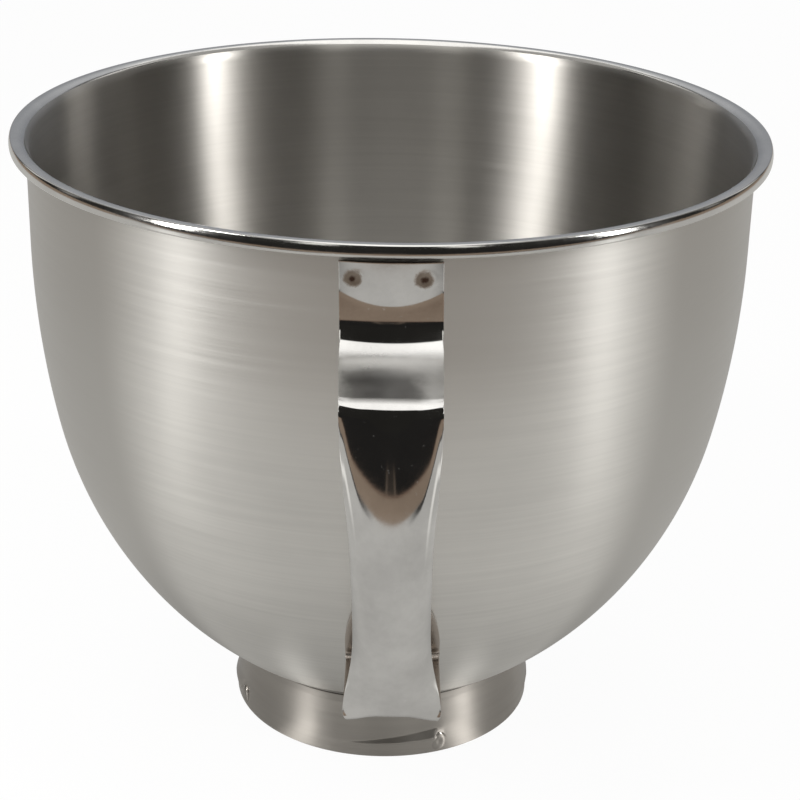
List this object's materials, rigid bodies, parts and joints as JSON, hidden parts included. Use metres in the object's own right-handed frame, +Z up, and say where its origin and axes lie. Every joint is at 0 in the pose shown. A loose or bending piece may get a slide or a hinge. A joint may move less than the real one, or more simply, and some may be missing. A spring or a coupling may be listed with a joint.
{
  "type": "stand mixer bowl",
  "caption": "Deep round steel mixing bowl with a rolled rim, a strap handle at the side and a foot ring with lugs that lock it to a stand mixer.",
  "frame": {"origin": "centre of the foot ring on the floor", "axes": "+Z up along the bowl's axis; the handle is on the -Y side; +X is to the right when the handle faces the viewer"},
  "size_m": [0.216, 0.2409, 0.184],
  "materials": {
    "satin_steel": "satin, brushed round the axis",
    "foot_steel": "half polished",
    "polished_steel": "polished"
  },
  "bodies": {
    "root": {"bowl_shell": "satin_steel", "base_ring": "foot_steel", "handle": "polished_steel"}
  },
  "joints": []
}
